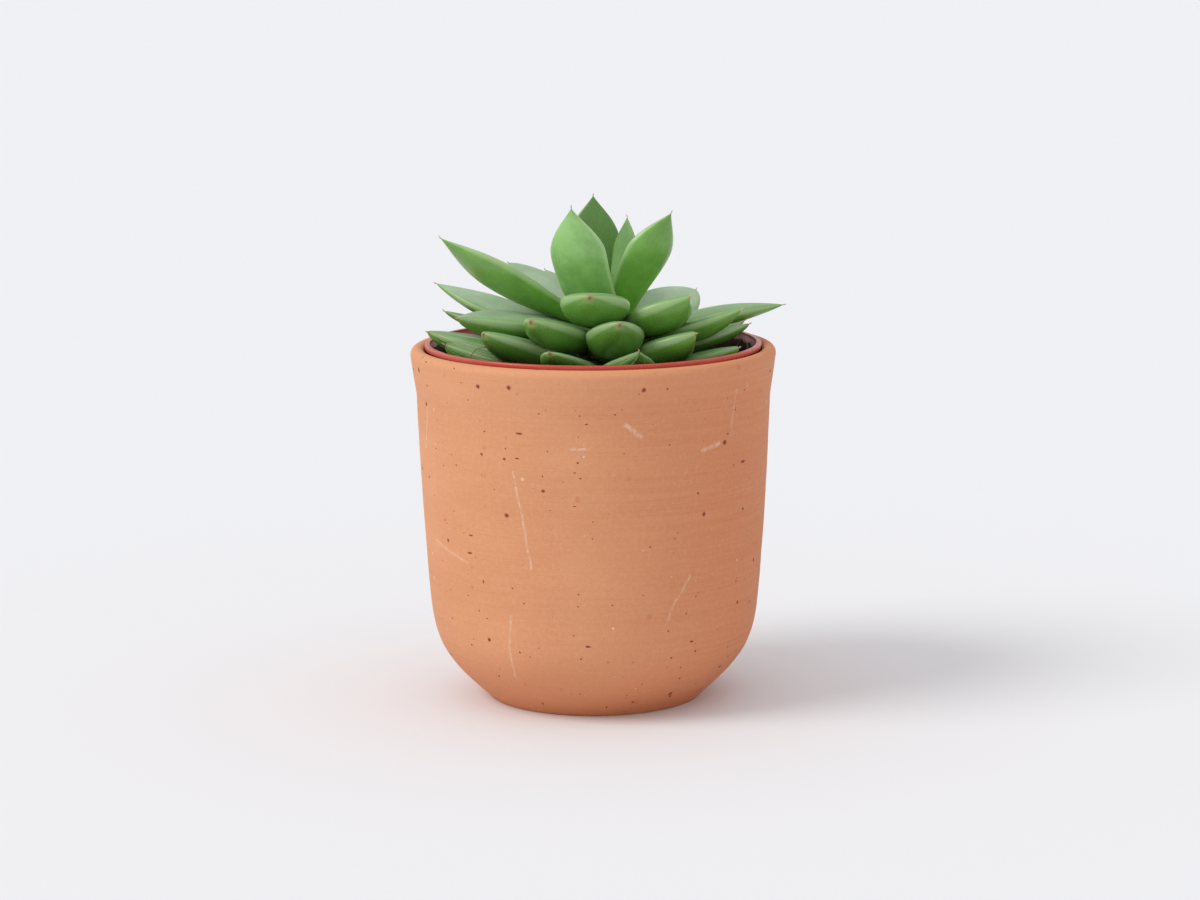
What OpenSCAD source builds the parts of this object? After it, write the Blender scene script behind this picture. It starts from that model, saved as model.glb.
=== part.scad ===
// A small rosette succulent in a thin plastic nursery pot, standing in a round-bellied terracotta pot.
// Origin: centre of the drain hole, on the plane that the clay pot stands on. +Z is up, -Y is the front.

/* [Terracotta pot] */
// Outer radius of the flat foot
foot_r = 28.5; // [26:0.5:30]
// Outer radius where the lip is widest
lip_r = 48.1; // [47.9:0.1:48.4]
// Height of the crown of the lip
pot_h = 93.5; // [93.3:0.1:94]
// Thickness of the clay in the wall
wall = 3.9; // [3.4:0.1:4.2]
// Thickness of the floor
floor_t = 5; // [4:0.5:6]
// Diameter of the drain hole
drain_d = 12; // [8:1:16]

/* [Nursery pot] */
// Outer radius of the plastic pot's base
liner_base_r = 32; // [30:0.5:33]
// Outer radius of its body just under the lip
liner_top_r = 42.9; // [42.4:0.1:43]
// Outer radius of its flat lip
liner_lip_r = 44.3; // [44:0.1:44.4]
// Height of the base's underside above the ground
liner_z = 12.8; // [12.5:0.1:14]
// Thickness of the plastic
liner_t = 0.9; // [0.7:0.1:1.2]
// Diameter of each drain hole in the base
liner_hole_d = 6; // [4:0.5:8]

/* [Potting mix] */
// Height of the surface of the mix
soil_z = 83.5; // [83:0.5:85]
// Height of the bank of mix against the plastic's wall
bank_z = 88.6; // [86:0.2:88.8]
// Gap between the mix and the plastic
soil_gap = 0.3; // [0.2:0.1:0.6]

/* [Plant] */
// How far the stem stands off the pot's axis, to the right
stem_x = 3.5; // [2:0.5:5]
// Radius of the stem
stem_r = 4.5; // [4.4:0.1:5]
// Width of a leaf where it leaves the stem, as a share of its greatest width
leaf_neck = 0.24; // [0.2:0.01:0.28]
// Where along its length a leaf is widest
leaf_widest = 0.6; // [0.55:0.01:0.65]

/* [Hidden] */
LEAVES = [
    // name, heading, height, angle at stem, angle at tip, length, width, thickness share, twist,
    // start, taper: a low taper keeps the flesh thick right up to the point
    ["heart_leaf_front", 237, 102, 52, 78, 32, 15.4, 0.36, 10, 4, 0.8],
    ["heart_leaf_back", 116, 103, 68, 92, 30, 14, 0.34, -10, 3, 0.8],
    ["heart_leaf_small", 20, 103.5, 72, 86, 24, 9, 0.34, 20, 2, 0.8],
    ["heart_leaf_right", 324, 102, 64, 50, 32, 13.6, 0.36, -22, 4, 0.8],
    ["upper_leaf_left", 194, 98.5, 29, 31, 47, 16, 0.34, 20, 4, 0.8],
    ["upper_leaf_back_left", 146, 98.3, 25, 28, 31, 16, 0.32, -8, 4, 0.7],
    ["upper_leaf_back", 82, 100, 42, 48, 26, 13, 0.34, 0, 4, 0.7],
    ["upper_leaf_back_right", 48, 95.5, 16, 12, 33, 16, 0.32, 22, 4, 0.6],
    ["upper_leaf_front_right", 309, 98.1, 15, 20, 32, 16, 0.45, 0, 4, 0.45],
    ["upper_leaf_front", 262, 102.5, 13, 12, 27, 18, 0.46, 0, 6, 0.4],
    ["middle_leaf_back_left", 163, 96, 11, 18, 45, 13, 0.34, -8, 4, 0.6],
    ["middle_leaf_left", 204, 96.8, 14, -1, 38.5, 16, 0.44, -4, 4, 0.45],
    ["middle_leaf_front_left", 239, 94.2, 13, 15, 35, 14, 0.46, 0, 4, 0.3],
    ["middle_leaf_front", 275, 92.4, 14, 19, 34, 14, 0.54, 0, 4, 0.4],
    ["middle_leaf_right", 332, 93.5, 13, 19, 37, 14, 0.4, 0, 4, 0.5],
    ["long_leaf_right", 8, 95, 18, 0, 44, 14, 0.34, 0, 4, 0.65],
    ["middle_leaf_back_right", 84, 97.5, 27, 29, 34, 14, 0.34, 0, 4, 0.6],
    ["middle_leaf_back", 116, 96.5, 18, 20, 36, 15, 0.34, 0, 4, 0.6],
    ["lower_leaf_left", 177, 92.1, 11, 16, 40, 11, 0.34, 0, 4, 0.5],
    ["lower_leaf_front_left", 220, 89, 11, 17, 39, 15, 0.41, 0, 4, 0.42],
    ["lower_leaf_front_right", 307, 89.6, 12, 18, 35.5, 14, 0.48, 0, 4, 0.42],
    ["lower_leaf_right", 353, 90.3, 9, 18, 35, 12, 0.36, 0, 4, 0.5],
    ["lower_leaf_right_back", 26, 91, 6, 10, 38, 14, 0.32, 0, 4, 0.5],
    ["lower_leaf_back_right", 63, 92, 8, 12, 38, 15, 0.34, 0, 4, 0.5],
    ["lower_leaf_back", 100, 92, 8, 13, 38, 15, 0.34, 0, 4, 0.5],
    ["lower_leaf_back_left", 138, 92, 8, 13, 39, 15, 0.34, 0, 4, 0.5],
    ["rim_leaf_left", 179, 89.2, 4, 12, 44, 13, 0.42, 0, 4, 0.5],
    ["rim_leaf_left_front", 203, 86, 4, 19, 43, 13, 0.42, 0, 4, 0.45],
    ["rim_leaf_front_left", 249, 86.9, 7, 20, 38, 13.5, 0.36, 0, 4, 0.38],
    ["rim_leaf_front_right", 282, 85.8, 6, 26, 37, 14, 0.36, 0, 4, 0.45],
    ["rim_leaf_right", 329, 86.6, 7, 16, 37, 13, 0.36, 0, 4, 0.5],
    ["rim_leaf_back_left", 156, 87.2, 2, 6, 40, 13, 0.32, 0, 4, 0.5],
    ["rim_leaf_back", 119, 88.5, 4, 8, 40, 15, 0.34, 0, 4, 0.5],
    ["rim_leaf_back_right", 81, 88.5, 4, 8, 36, 15, 0.34, 0, 4, 0.5],
    ["rim_leaf_right_back", 44, 88, 3, 7, 34, 14, 0.34, 0, 4, 0.5],
];

// Smoothness of round solids, and steps of the curved outlines
$fn = 96;
curve_steps = 10;

// Outside of the clay: foot, end of the belly, start of the flared lip
belly_end = [43.4, 26];
flare_start = [46.6, 81];
// Inside of the clay: end of the belly, top of the straight wall
inner_belly_end = [belly_end.x - wall, belly_end.y + 1];
inner_wall_end = [flare_start.x - wall, flare_start.y - 3];
// The lip is a half round bead
bead_r = 1.9;
bead_c = [lip_r - bead_r, pot_h - bead_r];

// Nursery pot
liner_h = 80.1;
liner_lip_z = liner_z + liner_h;
liner_body_h = 77.7;
lip_thickness = 1.5;
liner_holes = 6;
liner_hole_ring = 22;

// Leaves: stations along a leaf, points round a section, share of the thickness above the leaf's margin,
// and the share of it that the point is raised by, so that the upper face runs flat to the point
leaf_rings = 11;
leaf_sides = 12;
upper_share = 0.34;
point_lift = 0.24;
margin_lift = 0.1;
tip_share = 0.012;
// How the flesh thins with the width towards the stem
neck_taper = 0.8;

// The bank of mix: inner edge of its flat top, and foot of its slope
bank_top_r = 38.8;
bank_foot_r = 36.5;
// Directions of the dry twigs
twig_turns = [17, 12, 3, -3];

// Stem and roots
stem_shoulder_z = 98;
stem_top_z = 104.5;
crown_depth = 14;
root_count = 5;
root_r = 0.9;
root_len = 26;

clay = [0.86, 0.60, 0.44];
red_plastic = [0.72, 0.26, 0.19];
mix_brown = [0.16, 0.11, 0.08];
root_cream = [0.80, 0.74, 0.60];
stem_green = [0.36, 0.42, 0.24];
leaf_green = [0.36, 0.54, 0.27];
perlite_white = [0.93, 0.92, 0.88];
bark_brown = [0.35, 0.22, 0.14];
twig_tan = [0.55, 0.40, 0.27];

// Points of a cubic Bezier curve, without its first point
function bezier(a, b, c, d, n) = [
    for (i = [1:n])
        let (t = i / n, u = 1 - t)
            u * u * u * a + 3 * u * u * t * b + 3 * u * t * t * c + t * t * t * d
];

// Points of an arc about a centre, from one angle to another
function arc(c, r, from, to, n) = [
    for (i = [0:n])
        let (t = from + (to - from) * i / n)
            c + r * [cos(t), sin(t)]
];

// ---- Terracotta pot ----

function pot_outside() = concat(
    [[foot_r - 0.8, 0], [foot_r, 0.6]],
    bezier([foot_r, 0.6], [foot_r + 11.3, 10.5], [42.45, 15.05], belly_end, curve_steps),
    bezier(belly_end, [44.4, 36], [45.8, 57], flare_start, curve_steps),
    bezier(flare_start, [47.0, 84], [lip_r - 0.4, 87.5], [lip_r, bead_c.y], curve_steps)
);

function pot_inside() = concat(
    bezier([lip_r - 2 * bead_r, bead_c.y], [43.9, 88], [43.1, 84], inner_wall_end, 6),
    bezier(inner_wall_end, [41.6, 58], [40.5, 36], inner_belly_end, curve_steps),
    bezier(inner_belly_end, [38.4, 17], [34.5, floor_t + 4], [26, floor_t], curve_steps)
);

module terracotta_pot()
    color(clay)
        difference() {
            rotate_extrude()
                polygon(concat(
                    [[0, 0]],
                    pot_outside(),
                    arc(bead_c, bead_r, 15, 165, 8),
                    pot_inside(),
                    [[0, floor_t]]
                ));
            translate([0, 0, -1])
                cylinder(d = drain_d, h = floor_t + 2);
        }

// ---- Nursery pot ----

// Outer radius of the plastic body at a height
function liner_r(z) = liner_base_r + (liner_top_r - liner_base_r) * (z - liner_z) / liner_body_h;

module nursery_pot()
    color(red_plastic)
        difference() {
            rotate_extrude()
                polygon([
                    [0, liner_z],
                    [liner_base_r - 1, liner_z],
                    [liner_base_r, liner_z + 1],
                    [liner_top_r, liner_z + liner_body_h],
                    [liner_top_r + 0.5, liner_lip_z - 0.5],
                    [liner_lip_r - 0.3, liner_lip_z],
                    [liner_lip_r, liner_lip_z + 0.4],
                    [liner_lip_r, liner_lip_z + lip_thickness - 0.5],
                    [liner_lip_r - 0.5, liner_lip_z + lip_thickness],
                    [liner_lip_r - 1.3, liner_lip_z + lip_thickness],
                    [liner_top_r - liner_t + 0.6, liner_lip_z + lip_thickness - 1],
                    [liner_top_r - liner_t + 0.3, liner_lip_z - 0.4],
                    [liner_top_r - liner_t, liner_z + liner_body_h - 1],
                    [liner_base_r - liner_t, liner_z + liner_t],
                    [0, liner_z + liner_t]
                ]);
            for (i = [0:liner_holes - 1])
                rotate(i * 360 / liner_holes)
                    translate([liner_hole_ring, 0, liner_z - 1])
                        cylinder(d = liner_hole_d, h = liner_t + 2);
            translate([0, 0, liner_z - 1])
                cylinder(d = liner_hole_d, h = liner_t + 2);
        }

// ---- Potting mix, roots and stem ----

// The root crown: the stem's own tapered foot, down in the mix
module crown()
    translate([stem_x, 0, soil_z - crown_depth])
        cylinder(r1 = 1.5, r2 = stem_r, h = crown_depth);

module root_shapes() {
    translate([stem_x, 0, soil_z - crown_depth - 30])
        cylinder(r1 = 0.5, r2 = 1.5, h = 30);
    for (i = [0:root_count - 1])
        translate([stem_x, 0, soil_z - crown_depth - 4 - 4 * i])
            rotate([0, 125, i * 360 / root_count + 20])
                cylinder(r = root_r, h = root_len);
}

// Outer radius of the mix at a height
function mix_r(z) = liner_r(z) - liner_t - soil_gap - 0.2;

module potting_mix()
    color(mix_brown)
        difference() {
            rotate_extrude()
                polygon([
                    [0, liner_z + liner_t + soil_gap],
                    [mix_r(liner_z + 1), liner_z + liner_t + soil_gap],
                    [mix_r(bank_z), bank_z],
                    [bank_top_r, bank_z],
                    [bank_foot_r, soil_z],
                    [0, soil_z]
                ]);
            crown();
            root_shapes();
        }

module roots()
    color(root_cream)
        root_shapes();

module stem()
    color(stem_green) {
        crown();
        translate([stem_x, 0, soil_z])
            cylinder(r = stem_r, h = stem_shoulder_z - soil_z);
        translate([stem_x, 0, stem_shoulder_z])
            cylinder(r1 = stem_r, r2 = 2.2, h = stem_top_z - stem_shoulder_z);
    }

// ---- Leaves ----

// Half of the leaf's width at a share s of its length, as a share of the greatest
function leaf_form(s) = s < leaf_widest
    ? leaf_neck + (1 - leaf_neck) * pow(sin(90 * s / leaf_widest), 1.8)
    : pow(cos(90 * (s - leaf_widest) / (1 - leaf_widest)), 1.15);

// Place along the bowed centre line, as distance out and distance up: pitch a at the stem, b at the tip
function leaf_line(s, len, a, b) =
    let (turn = (b - a) * PI / 180, p = a + (b - a) * s)
        abs(turn) < 0.001
            ? len * s * [cos(a), sin(a)]
            : len / turn * [sin(p) - sin(a), cos(a) - cos(p)];

// One ring of points round the leaf at s
function leaf_ring(l, s) =
    let (
        heading = l[1], pitch = l[3] + (l[4] - l[3]) * s,
        half = l[6] / 2 * max(leaf_form(s), tip_share),
        taper = s < leaf_widest ? neck_taper : l[10],
        thick = l[6] * l[7] * max(pow(max(leaf_form(s), 0), taper), 0.03),
        lift = l[6] * l[7] * point_lift * pow(s, 3),
        at = leaf_line(s, l[5], l[3], l[4]),
        out = l[9] + at.x,
        centre = [stem_x + out * cos(heading), out * sin(heading), l[2] + at.y],
        across = [sin(heading), -cos(heading), 0],
        normal = [-sin(pitch) * cos(heading), -sin(pitch) * sin(heading), cos(pitch)],
        u = across * cos(l[8]) - normal * sin(l[8]),
        v = normal * cos(l[8]) + across * sin(l[8])
    )
        [for (k = [0:leaf_sides - 1])
            let (
                t = 360 * k / leaf_sides,
                face = sin(t) > 0 ? upper_share * sin(t) : -(1 - upper_share) * pow(-sin(t), 0.9)
            )
                centre + u * half * cos(t) + v * (lift + thick * (face + margin_lift * cos(t) * cos(t)))
        ];

// Stations lie closer together towards the tip
function leaf_station(i) = 1 - pow(1 - i / leaf_rings, 1.25);

function average(ring) = [
    for (axis = [0:2]) [for (p = ring) p[axis]] * [for (p = ring) 1] / len(ring)
];

module leaf(l) {
    rings = [for (i = [0:leaf_rings]) leaf_ring(l, leaf_station(i))];
    n = leaf_sides;
    last = leaf_rings * n;
    points = concat([for (r = rings) for (p = r) p], [average(rings[0]), average(rings[leaf_rings])]);
    sides = [
        for (i = [0:leaf_rings - 1]) for (k = [0:n - 1])
            let (a = i * n + k, b = i * n + (k + 1) % n)
                each [[a, b, a + n], [b, b + n, a + n]]
    ];
    ends = [
        for (k = [0:n - 1])
            each [[len(points) - 2, (k + 1) % n, k], [len(points) - 1, last + k, last + (k + 1) % n]]
    ];
    color(leaf_green)
        polyhedron(points = points, faces = concat(sides, ends));
}

// ---- Loose bits on the mix ----

// Golden angle scatter: the direction of bit i round the bank of mix
function bit_turn(i) = i * 137.5;

module perlite_grains()
    color(perlite_white)
        for (i = [0:13])
            let (r = 0.5 + 0.1 * (i % 4))
                rotate(bit_turn(i))
                    translate([39.6 + 0.2 * (i % 5), 0, bank_z + r + 0.02])
                        sphere(r = r, $fn = 24);

module bark_chips()
    color(bark_brown)
        for (i = [0:9])
            rotate(bit_turn(i + 20))
                translate([39.3, -1.2, bank_z + 0.02])
                    cube([1.2, 2.4 - 0.1 * i, 0.7]);

module dry_twigs()
    color(twig_tan)
        for (i = [0:3])
            rotate(twig_turns[i])
                translate([39.8, 0, bank_z + 0.3])
                    rotate([18 - 12 * i, -12 * (i % 2), 0])
                        cylinder(r1 = 0.35, r2 = 0.15, h = 5.5 + (i % 3));

terracotta_pot();
nursery_pot();
potting_mix();
roots();
stem();
for (l = LEAVES) leaf(l);
perlite_grains();
bark_chips();
dry_twigs();
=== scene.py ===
"""The looks of a small rosette succulent in a plastic nursery pot, inside a round-bellied terracotta pot.

Shapes are worked out in millimetres, in the CAD frame, and turned into metres when a mesh is made.
"""

import math
import random

import bpy
from mathutils import Matrix, Vector, noise


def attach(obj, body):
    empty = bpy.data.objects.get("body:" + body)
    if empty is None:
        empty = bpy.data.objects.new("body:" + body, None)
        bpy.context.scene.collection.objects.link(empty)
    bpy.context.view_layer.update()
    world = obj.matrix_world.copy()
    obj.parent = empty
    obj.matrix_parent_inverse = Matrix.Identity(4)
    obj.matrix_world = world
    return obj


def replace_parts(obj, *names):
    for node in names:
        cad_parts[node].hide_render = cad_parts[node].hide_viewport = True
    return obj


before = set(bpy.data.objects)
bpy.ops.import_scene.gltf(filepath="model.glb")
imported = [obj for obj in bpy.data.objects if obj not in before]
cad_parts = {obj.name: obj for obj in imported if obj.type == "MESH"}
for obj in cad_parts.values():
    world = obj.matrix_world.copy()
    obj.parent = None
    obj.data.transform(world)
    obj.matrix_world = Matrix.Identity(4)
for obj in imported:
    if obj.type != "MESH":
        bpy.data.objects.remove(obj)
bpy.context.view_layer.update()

MM = 0.001
rng = random.Random(7)

# ---- Numbers shared with the CAD, in mm ----

FOOT_R = 28.5
LIP_R = 48.1
POT_H = 93.5
WALL = 3.9
FLOOR_T = 5.0
DRAIN_R = 6.0
BODY_R = 45.0
BEAD_R = 1.9

LINER_BASE_R = 32.0
LINER_TOP_R = 42.9
LINER_LIP_R = 44.3
LINER_Z = 12.8
LINER_BODY_H = 77.7
LINER_LIP_Z = 92.9
LINER_T = 0.9
LIP_T = 1.5
LINER_HOLE_R = 3.0
LINER_HOLE_RING = 22.0
LINER_HOLES = 6
# Top of the darkening on the liner's inner wall: stain from the mix and painted shade
STAIN_AND_SHADE_TOP = 93.6

SOIL_Z = 83.5
BANK_Z = 88.6
BANK_TOP_R = 38.8
BANK_FOOT_R = 36.5
SOIL_GAP = 0.3
SOIL_BOTTOM = LINER_Z + LINER_T + SOIL_GAP

STEM_X = 3.5
STEM_R = 4.5
STEM_SHOULDER_Z = 98.0
STEM_TOP_Z = 104.5
CROWN_DEPTH = 14.0

LEAF_WIDEST = 0.6
UPPER_SHARE = 0.34
POINT_LIFT = 0.24
MARGIN_LIFT = 0.1
TIP_SHARE = 0.012
NECK_TAPER = 0.8

LEAVES = [
    # name, heading, height, angle at stem, angle at tip, length, width, thickness share, twist,
    # start, taper
    ["heart_leaf_front", 237, 102, 52, 78, 32, 15.4, 0.36, 10, 4, 0.8],
    ["heart_leaf_back", 116, 103, 68, 92, 30, 14, 0.34, -10, 3, 0.8],
    ["heart_leaf_small", 20, 103.5, 72, 86, 24, 9, 0.34, 20, 2, 0.8],
    ["heart_leaf_right", 324, 102, 64, 50, 32, 13.6, 0.36, -22, 4, 0.8],
    ["upper_leaf_left", 194, 98.5, 29, 31, 47, 16, 0.34, 20, 4, 0.8],
    ["upper_leaf_back_left", 146, 98.3, 25, 28, 31, 16, 0.32, -8, 4, 0.7],
    ["upper_leaf_back", 82, 100, 42, 48, 26, 13, 0.34, 0, 4, 0.7],
    ["upper_leaf_back_right", 48, 95.5, 16, 12, 33, 16, 0.32, 22, 4, 0.6],
    ["upper_leaf_front_right", 309, 98.1, 15, 20, 32, 16, 0.45, 0, 4, 0.45],
    ["upper_leaf_front", 262, 102.5, 13, 12, 27, 18, 0.46, 0, 6, 0.4],
    ["middle_leaf_back_left", 163, 96, 11, 18, 45, 13, 0.34, -8, 4, 0.6],
    ["middle_leaf_left", 204, 96.8, 14, -1, 38.5, 16, 0.44, -4, 4, 0.45],
    ["middle_leaf_front_left", 239, 94.2, 13, 15, 35, 14, 0.46, 0, 4, 0.3],
    ["middle_leaf_front", 275, 92.4, 14, 19, 34, 14, 0.54, 0, 4, 0.4],
    ["middle_leaf_right", 332, 93.5, 13, 19, 37, 14, 0.4, 0, 4, 0.5],
    ["long_leaf_right", 8, 95, 18, 0, 44, 14, 0.34, 0, 4, 0.65],
    ["middle_leaf_back_right", 84, 97.5, 27, 29, 34, 14, 0.34, 0, 4, 0.6],
    ["middle_leaf_back", 116, 96.5, 18, 20, 36, 15, 0.34, 0, 4, 0.6],
    ["lower_leaf_left", 177, 92.1, 11, 16, 40, 11, 0.34, 0, 4, 0.5],
    ["lower_leaf_front_left", 220, 89, 11, 17, 39, 15, 0.41, 0, 4, 0.42],
    ["lower_leaf_front_right", 307, 89.6, 12, 18, 35.5, 14, 0.48, 0, 4, 0.42],
    ["lower_leaf_right", 353, 90.3, 9, 18, 35, 12, 0.36, 0, 4, 0.5],
    ["lower_leaf_right_back", 26, 91, 6, 10, 38, 14, 0.32, 0, 4, 0.5],
    ["lower_leaf_back_right", 63, 92, 8, 12, 38, 15, 0.34, 0, 4, 0.5],
    ["lower_leaf_back", 100, 92, 8, 13, 38, 15, 0.34, 0, 4, 0.5],
    ["lower_leaf_back_left", 138, 92, 8, 13, 39, 15, 0.34, 0, 4, 0.5],
    ["rim_leaf_left", 179, 89.2, 4, 12, 44, 13, 0.42, 0, 4, 0.5],
    ["rim_leaf_left_front", 203, 86, 4, 19, 43, 13, 0.42, 0, 4, 0.45],
    ["rim_leaf_front_left", 249, 86.9, 7, 20, 38, 13.5, 0.36, 0, 4, 0.38],
    ["rim_leaf_front_right", 282, 85.8, 6, 26, 37, 14, 0.36, 0, 4, 0.45],
    ["rim_leaf_right", 329, 86.6, 7, 16, 37, 13, 0.36, 0, 4, 0.5],
    ["rim_leaf_back_left", 156, 87.2, 2, 6, 40, 13, 0.32, 0, 4, 0.5],
    ["rim_leaf_back", 119, 88.5, 4, 8, 40, 15, 0.34, 0, 4, 0.5],
    ["rim_leaf_back_right", 81, 88.5, 4, 8, 36, 15, 0.34, 0, 4, 0.5],
    ["rim_leaf_right_back", 44, 88, 3, 7, 34, 14, 0.34, 0, 4, 0.5],
]

# The unopened leaves at the heart, too small for the CAD, on the same plan
BUD_LEAVES = [
    ["heart_bud_left", 196, 103.6, 62, 84, 9.5, 5, 0.36, 8, 2.0, 0.8],
    ["heart_bud_right", 70, 103.8, 66, 92, 8.5, 4.6, 0.36, -6, 1.6, 0.8],
    ["heart_bud_front", 300, 103.8, 68, 96, 7.5, 4.4, 0.36, 0, 1.6, 0.8],
]

# ---- Mesh making ----


def make_object(name, points_mm, faces, material, smooth=True):
    """A mesh object from points in millimetres."""
    mesh = bpy.data.meshes.new(name)
    mesh.from_pydata([tuple(MM * c for c in p) for p in points_mm], [], faces)
    mesh.validate()
    if smooth:
        mesh.shade_smooth()
    else:
        mesh.shade_flat()
    mesh.materials.append(material)
    obj = bpy.data.objects.new(name, mesh)
    bpy.context.scene.collection.objects.link(obj)
    return obj


def point_values(obj, name, values):
    """Stores one number for each point of the mesh, for its material to read."""
    layer = obj.data.attributes.new(name, "FLOAT", "POINT")
    layer.data.foreach_set("value", [float(v) for v in values])


def bezier(a, b, c, d, n):
    """Points of a cubic Bezier curve, without its first point."""
    out = []
    for i in range(1, n + 1):
        t = i / n
        u = 1 - t
        out.append(tuple(
            u ** 3 * a[k] + 3 * u * u * t * b[k] + 3 * u * t * t * c[k] + t ** 3 * d[k]
            for k in (0, 1)
        ))
    return out


def arc(centre, r, start, end, n):
    """Points of an arc from one angle to another, in degrees."""
    angles = [math.radians(start + (end - start) * i / n) for i in range(n + 1)]
    return [(centre[0] + r * math.cos(a), centre[1] + r * math.sin(a)) for a in angles]


def thinned(profile, least):
    """The profile without points closer than a distance to the one before."""
    out = [profile[0]]
    for p in profile[1:]:
        if math.dist(p, out[-1]) >= least:
            out.append(p)
    return out


def loop_lathe(profile, sides):
    """Points and faces of a closed profile of (r, z) turned about the Z axis."""
    n = len(profile)
    points = []
    for k in range(sides):
        a = 2 * math.pi * k / sides
        points += [(r * math.cos(a), r * math.sin(a), z) for r, z in profile]
    faces = []
    for k in range(sides):
        here, there = k * n, (k + 1) % sides * n
        for i in range(n):
            j = (i + 1) % n
            faces.append((here + j, here + i, there + i, there + j))
    return points, faces


def wavy(x, y, z, scale, seed=0.0):
    """Smooth noise from about -1 to 1 at a point in millimetres."""
    return noise.noise(Vector((x / scale + seed, y / scale - seed, z / scale + 2 * seed)))


# ---- Materials ----


class Nodes:
    """Builds one node material a step at a time."""

    def __init__(self, name, roughness=0.5, specular=0.5):
        self.material = bpy.data.materials.new(name)
        self.material.use_nodes = True
        self.tree = self.material.node_tree
        self.shader = self.tree.nodes["Principled BSDF"]
        self.set("Roughness", roughness)
        self.set("Specular IOR Level", specular)
        self.place = self.add("ShaderNodeTexCoord").outputs["Object"]

    def add(self, kind, **settings):
        node = self.tree.nodes.new(kind)
        for key, value in settings.items():
            setattr(node, key, value)
        return node

    def link(self, source, target):
        self.tree.links.new(source, target)

    def put(self, value, socket):
        """Links a socket, or sets a plain value."""
        if isinstance(value, bpy.types.NodeSocket):
            self.link(value, socket)
        elif isinstance(value, tuple) and len(value) == 3 and socket.type == "RGBA":
            socket.default_value = (*value, 1)
        else:
            socket.default_value = value

    def set(self, socket, value):
        self.put(value, self.shader.inputs[socket])

    def stretched(self, x, y, z, place=None):
        """Object coordinates, scaled on each axis."""
        node = self.add("ShaderNodeVectorMath", operation="MULTIPLY")
        self.put(place or self.place, node.inputs[0])
        node.inputs[1].default_value = (x, y, z)
        return node.outputs[0]

    def noise(self, scale, detail=3.0, roughness=0.5, place=None):
        node = self.add("ShaderNodeTexNoise")
        self.put(place or self.place, node.inputs["Vector"])
        node.inputs["Scale"].default_value = scale
        node.inputs["Detail"].default_value = detail
        node.inputs["Roughness"].default_value = roughness
        return node.outputs["Fac"]

    def cells(self, scale, place, dimensions):
        """Voronoi cells: (distance to the nearest centre, the cell's own random colour)."""
        node = self.add("ShaderNodeTexVoronoi", voronoi_dimensions=dimensions)
        self.put(place or self.place, node.inputs["Vector"])
        node.inputs["Scale"].default_value = scale
        return node.outputs["Distance"], node.outputs["Color"]

    def attribute(self, name):
        return self.add("ShaderNodeAttribute", attribute_name=name).outputs["Fac"]

    def ramp(self, value, *stops):
        """A soft step of a value through (position, grey) stops."""
        node = self.add("ShaderNodeValToRGB")
        self.put(value, node.inputs["Fac"])
        ends = node.color_ramp.elements
        while len(ends) < len(stops):
            ends.new(0.5)
        for element, (position, grey) in zip(ends, stops):
            element.position = position
            element.color = (grey, grey, grey, 1)
        return node.outputs["Color"]

    def math(self, operation, a, b=0.0):
        node = self.add("ShaderNodeMath", operation=operation)
        self.put(a, node.inputs[0])
        self.put(b, node.inputs[1])
        return node.outputs[0]

    def mix(self, share, a, b):
        node = self.add("ShaderNodeMix", data_type="RGBA")
        self.put(share, node.inputs[0])
        self.put(a, node.inputs[6])
        self.put(b, node.inputs[7])
        return node.outputs[2]

    def height(self):
        """Height above the ground in millimetres."""
        split = self.add("ShaderNodeSeparateXYZ")
        self.link(self.place, split.inputs[0])
        return self.math("MULTIPLY", split.outputs["Z"], 1 / MM)

    def bump(self, height, depth, strength=1.0):
        """Bumps the surface; each call adds to the bumps before it. Depth is in metres."""
        node = self.add("ShaderNodeBump")
        node.inputs["Strength"].default_value = strength
        node.inputs["Distance"].default_value = depth
        self.put(height, node.inputs["Height"])
        normal = self.shader.inputs["Normal"]
        if normal.is_linked:
            self.link(normal.links[0].from_socket, node.inputs["Normal"])
        self.link(node.outputs["Normal"], normal)


def marks(m, place, dimensions, scale, size, keep, seed):
    """A mask of ragged marks, one in each kept cell of the given coordinates; few of them are large.

    scale is in cells for each unit, size is the largest radius in cells, and keep the share of cells kept.
    """
    shifted = m.add("ShaderNodeVectorMath", operation="ADD")
    m.put(place, shifted.inputs[0])
    shifted.inputs[1].default_value = (seed, seed * 0.7, seed * 1.3)
    distance, colour = m.cells(scale, shifted.outputs[0], dimensions)
    ragged = m.math("MULTIPLY", m.math("SUBTRACT", m.noise(1600, 2, 0.6), 0.5), size * 0.9)
    distance = m.math("ADD", distance, ragged)
    split = m.add("ShaderNodeSeparateColor")
    m.link(colour, split.inputs[0])
    kept = m.math("GREATER_THAN", split.outputs[0], 1 - keep)
    share = m.math("ADD", m.math("MULTIPLY", m.math("POWER", split.outputs[1], 2.5), 0.75), 0.25)
    reach = m.math("MULTIPLY", share, size)
    inside = m.math("DIVIDE", m.math("SUBTRACT", reach, distance), reach)
    soft = m.math("MINIMUM", m.math("MAXIMUM", m.math("MULTIPLY", inside, 2.2), 0.0), 1.0)
    return m.math("MULTIPLY", soft, kept)


def unrolled(m, x_scale=1.0, z_scale=1.0):
    """The clay's surface rolled out flat: millimetres round the pot from its front, and up."""
    split = m.add("ShaderNodeSeparateXYZ")
    m.link(m.place, split.inputs[0])
    back = m.math("MULTIPLY", split.outputs["Y"], -1.0)
    turn = m.math("ARCTAN2", split.outputs["X"], back)
    flat = m.add("ShaderNodeCombineXYZ")
    m.put(m.math("MULTIPLY", turn, BODY_R * x_scale), flat.inputs[0])
    m.put(m.math("MULTIPLY", split.outputs["Z"], z_scale / MM), flat.inputs[1])
    return flat.outputs[0]


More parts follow.
